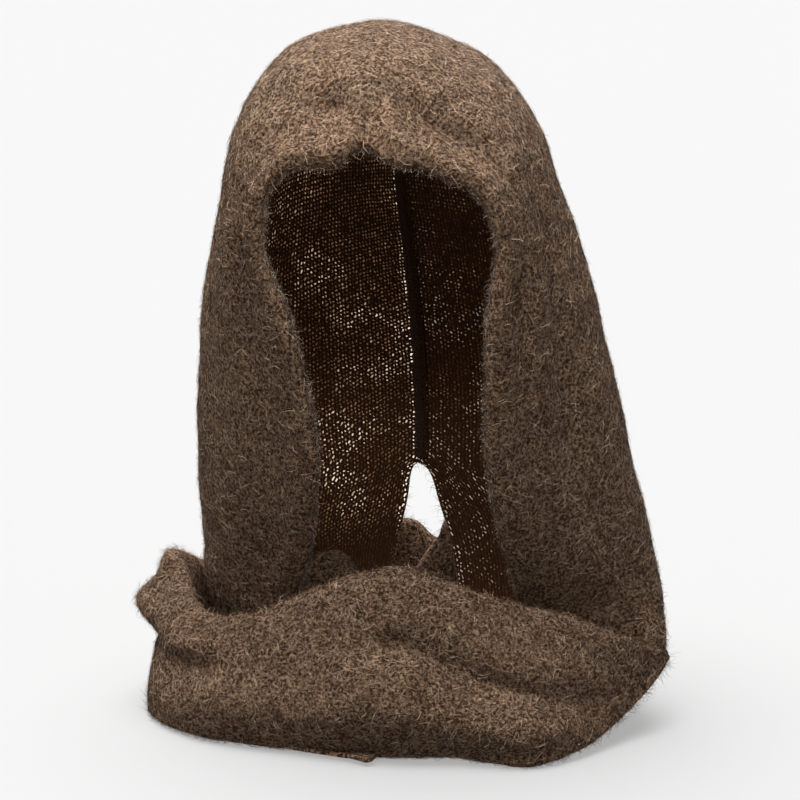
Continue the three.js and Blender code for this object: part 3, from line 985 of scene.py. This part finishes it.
# %% Seam pieces
seam_wool = Paint("seam_wool", Roughness=0.95, Sheen_Weight=0.15, Specular_IOR_Level=0.1)
seam_fuzz = seam_wool.noise(seam_wool.place(), 600, 3.0, 0.65)
seam_material = seam_wool.finish(
    Base_Color=seam_wool.mix(seam_fuzz, tone(56, 38, 25), tone(104, 72, 48)),
    Normal=seam_wool.node("Bump", {}, {"Strength": 0.7, "Distance": 0.0008, "Height": seam_fuzz}))
thread_wool = Paint("thread_wool", Roughness=0.9, Sheen_Weight=0.2, Specular_IOR_Level=0.15)
thread_material = thread_wool.finish(Base_Color=thread_wool.mix(
    thread_wool.noise(thread_wool.place(), 300, 2.0), tone(60, 42, 28), tone(112, 80, 54)))
seam_plies = [seam_ply(-1.15, 1.9, SEAM_DEPTH, 0.5, 1.7), seam_ply(1.15, 1.9, 5.0, 0.5, 6.2)]
seam_edges = cloth_piece("seam_edges", seam_plies, [seam_material])
thread_curve = bpy.data.curves.new("seam_thread", "CURVE")
thread_curve.dimensions = "3D"
thread_curve.bevel_depth = THREAD_RADIUS
thread_curve.bevel_resolution = 1
thread_points = placed(seam_thread())
spline = thread_curve.splines.new("POLY")
spline.points.add(len(thread_points) - 1)
spline.points.foreach_set("co", np.pad(thread_points, ((0, 0), (0, 1)), constant_values=1).ravel())
thread_curve.materials.append(thread_material)
seam_thread_piece = added("seam_thread", thread_curve)
print("seam", len(thread_points), "thread points")

# %% [markdown]
# ## Fibres
# What makes the cloth read as brushed wool is its nap: single fibres, some lying flat and some
# standing off. Each fibre is a thin ribbon of three faces. It starts on the outer face, leans
# along it in its own direction, and lifts as far as its own share of luck says. A colour
# attribute keeps one tint for each fibre, because the yarn mixes dark and fair ones. The
# fibres on the rolled face edge are paler still, as a painted highlight of the lit roll.

# %% Fibre material
def fibre_wool(name, *shades):
    paint = Paint(name, Roughness=0.9, Specular_IOR_Level=0.15)
    tint = paint.node("Attribute", {"attribute_name": "tint"}, {}, "Fac")
    stops = [(k / (len(shades) - 1), shade) for k, shade in enumerate(shades)]
    return paint.finish(Base_Color=paint.node("ValToRGB", {"stops": stops}, {0: tint}))


nap_fibre = fibre_wool(
    "nap_fibre", tone(18, 12, 8), tone(68, 46, 32), tone(122, 90, 65), tone(246, 215, 184))
# Real fibres on the rolled edge; their pale tints are a painted highlight of the lit roll.
rim_fibre = fibre_wool("rim_fibre", tone(84, 70, 58), tone(146, 126, 108), tone(240, 226, 208))

# %% Fibre mesh
FIBRE_WIDTH = 0.24
BURIED = 0.3
LEAST_LIFT, MOST_LIFT = 0.15, 2.0
FLOOR_GAP = 0.0003


def sampled(grid, i, j, a, b):
    """Points of a grid inside the cells i, j, at shares a and b across them."""
    low = grid[i, j] * (1 - b) + grid[i, j + 1] * b
    high = grid[i + 1, j] * (1 - b) + grid[i + 1, j + 1] * b
    return low * (1 - a) + high * a


def fibres(name, parts, count, seed, material, long=(5.5, 14.0), lift=0.42):
    """One object of many fibres on the outer faces of a list of sheets."""
    rng = np.random.default_rng(seed)
    made, tints = [], []
    areas = []
    for grid, *_ in parts:
        along, across = np.diff(grid, axis=0)[:, :-1], np.diff(grid, axis=1)[:-1]
        areas.append(np.linalg.norm(np.cross(along, across), axis=2))
    total = sum(area.sum() for area in areas)
    for (grid, wall, side, *_), area in zip(parts, areas):
        n = int(count * area.sum() / total)
        chance = area.ravel() / area.sum()
        cell = rng.choice(len(chance), n, p=chance)
        i, j = np.divmod(cell, area.shape[1])
        a, b = rng.random((2, n, 1))
        normals = normals_of(grid) * side
        surface = grid + normals * (wall / 2)[..., None]
        root = sampled(surface, i, j, a, b)
        normal = unit(sampled(normals, i, j, a, b))
        along = unit(sampled(np.gradient(grid, axis=0), i, j, a, b))
        across = np.cross(normal, along)
        heading = rng.uniform(0, 2 * np.pi, (n, 1))
        curl = rng.normal(0, 1.2, (n, 1))
        length = rng.uniform(*long, (n, 1))
        height = np.minimum(rng.exponential(lift, (n, 1)) + LEAST_LIFT, MOST_LIFT)
        tip_height = height * rng.uniform(0.2, 1.7, (n, 1))
        stations = []
        spot = root - normal * BURIED
        for share, rise in ((0, 0), (0.5, height), (1, tip_height)):
            angle = heading + curl * share
            direction = along * np.cos(angle) + across * np.sin(angle)
            stations.append((spot + normal * rise, direction))
            spot = spot + direction * length * 0.5
        width = FIBRE_WIDTH * rng.uniform(0.6, 1.3, (n, 1))
        twist = rng.uniform(-0.9, 0.9, (n, 1))
        points = []
        for (point, direction), share in zip(stations, (1, 0.8)):
            sideways = unit(np.cross(direction, normal) + normal * twist)
            points += [point - sideways * width * share / 2, point + sideways * width * share / 2]
        points.append(stations[2][0])
        made.append(np.stack(points, 1))
        tints.append(rng.beta(0.8, 0.8, n))
    points = placed(np.concatenate(made))
    points[..., 2] = np.maximum(points[..., 2], floor_height + FLOOR_GAP)
    count = len(points)
    base = np.arange(count)[:, None] * 5
    faces = np.concatenate([base + np.array(corner) for corner in ((0, 1, 3), (0, 3, 2), (2, 3, 4))], 1)
    faces = faces.reshape(-1, 3)
    mesh = bpy.data.meshes.new(name)
    mesh.from_pydata(points.reshape(-1, 3), [], faces)
    mesh.materials.append(material)
    layer = mesh.attributes.new("tint", "FLOAT", "POINT")
    layer.data.foreach_set("value", np.repeat(np.concatenate(tints), 5).astype(np.float32))
    print(name, count, "fibres")
    return added(name, mesh)


def rim_only(parts):
    """The underside of the rolled face edge, out of a panel's parts."""
    grid, wall, side, *rest = parts
    columns = slice(1, CURL_STEPS - 2)
    return grid[:, columns], wall[:, columns], side, *rest


FIBRES = 57000
SPARSE = 4
RIM_SPARSE = 6
SEAM_SPARSE = 20
nap_left = fibres("nap_left", [left_parts], FIBRES, 1, nap_fibre)
nap_right = fibres("nap_right", [right_parts], FIBRES, 2, nap_fibre)
nap_ring = fibres("nap_ring", [ring_parts, hem_parts], FIBRES, 3, nap_fibre)
nap_tail = fibres("nap_tail", [tail_parts, flap_parts], FIBRES // SPARSE, 4, nap_fibre)
# The pale fibres on the roll paint its highlight along the face edge.
rim_parts = [rim_only(left_parts), rim_only(right_parts)]
nap_rim = fibres("nap_rim", rim_parts, FIBRES // RIM_SPARSE, 5, rim_fibre, (4, 10), 1.1)
nap_seam = fibres("nap_seam", seam_plies, FIBRES // SEAM_SPARSE, 6, nap_fibre, (2, 5), 0.5)

# %% [markdown]
# ## Floor and light
# The floor is plain and pale, and far away it sweeps up all round, as in a photo studio. A
# wide sun, high above, lights all of it evenly. A softbox hangs over the hood and is flagged
# off the floor: because it is near, the crown gets more of it than the ring does. A lamp behind
# brightens the ends that lie there. The floor glows a little, which keeps the shadow on it
# pale, and it sends no light back, so the sides stay as deep as they are in front of a far
# backdrop.

# %% Floor and lights
SWEEP = ((0.01, 0), (8, 0), (9.5, 0.2), (10.8, 1.0), (11.6, 2.4), (12, 4.5), (12, 9))
SWEEP_SIDES = 64
FLOOR_TONE, FLOOR_GLOW = (0.52, 0.52, 0.52), 0.37
SKY, SOFTBOX, BACK_LIGHT, SURROUND = 2.75, 2.7, 4.5, 0.22
LAMP_SIZE = 0.4
turn = np.linspace(0, 2 * np.pi, SWEEP_SIDES, endpoint=False)
floor_rings = np.array([
    [(r * math.cos(a), r * math.sin(a), floor_height + rise) for a in turn] for r, rise in SWEEP])
floor_faces = [
    (k * SWEEP_SIDES + i, k * SWEEP_SIDES + (i + 1) % SWEEP_SIDES,
     (k + 1) * SWEEP_SIDES + (i + 1) % SWEEP_SIDES, (k + 1) * SWEEP_SIDES + i)
    for k in range(len(SWEEP) - 1) for i in range(SWEEP_SIDES)]
floor_mesh = bpy.data.meshes.new("floor")
floor_mesh.from_pydata(floor_rings.reshape(-1, 3), [], [tuple(range(SWEEP_SIDES)), *floor_faces])
floor_mesh.shade_smooth()
floor = added("floor", floor_mesh)
floor_paint = Paint(
    "pale_floor", Roughness=0.8, Specular_IOR_Level=0.2, Emission_Color=(1, 1, 1, 1),
    Emission_Strength=FLOOR_GLOW)
floor_mesh.materials.append(floor_paint.finish(Base_Color=FLOOR_TONE))
floor.visible_diffuse = False


def lamp(name, kind, strength, spot, towards, **settings):
    """A lamp at a spot, shining away from the direction that it is given."""
    data = bpy.data.lights.new(name, kind)
    data.energy = strength
    for setting, value in settings.items():
        setattr(data, setting, value)
    made = added(name, data)
    made.location = spot
    made.rotation_euler = Vector(towards).to_track_quat("Z", "Y").to_euler()
    return made


lamp("sky_light", "SUN", SKY, (0, 0, 1), (-0.19, 0.12, 1.2), angle=math.radians(64))
softbox_spot = Vector((-0.01, -0.32, 0.34))
softbox_way = softbox_spot + Vector((0, -0.03, 0.15))
softbox = lamp("softbox", "AREA", SOFTBOX, softbox_spot, softbox_way, size=LAMP_SIZE)
back_spot = Vector((0.02, 0.55, 0.20))
back_way = back_spot - Vector((0, 0.08, -0.36))
back_light = lamp("back_light", "AREA", BACK_LIGHT, back_spot, back_way, size=LAMP_SIZE)
only_cloth = bpy.data.collections.new("only_cloth")
for piece in bpy.data.objects:
    if piece.type in ("MESH", "CURVE") and piece is not floor:
        only_cloth.objects.link(piece)
for light in (softbox, back_light):
    light.light_linking.receiver_collection = only_cloth

world = bpy.data.worlds.new("world")
world.use_nodes = True
background = world.node_tree.nodes["Background"].inputs
background["Color"].default_value = (1, 1, 1, 1)
background["Strength"].default_value = SURROUND
bpy.context.scene.world = world
bpy.context.scene.view_settings.view_transform = "Standard"

# %% [markdown]
# ## Joining the frame
# Every piece rides on the one body, and each strip stands for the frame's own solids.

# %% Bodies
for piece, node in ((left_strip, "left_panel"), (right_strip, "right_panel")):
    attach(piece, "root")
    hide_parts(node)
for piece in (nap_left, nap_right, nap_ring, nap_tail, nap_rim):
    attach(piece, "root")
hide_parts("centre_seam")
for piece in (seam_edges, seam_thread_piece, nap_seam):
    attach(piece, "root")
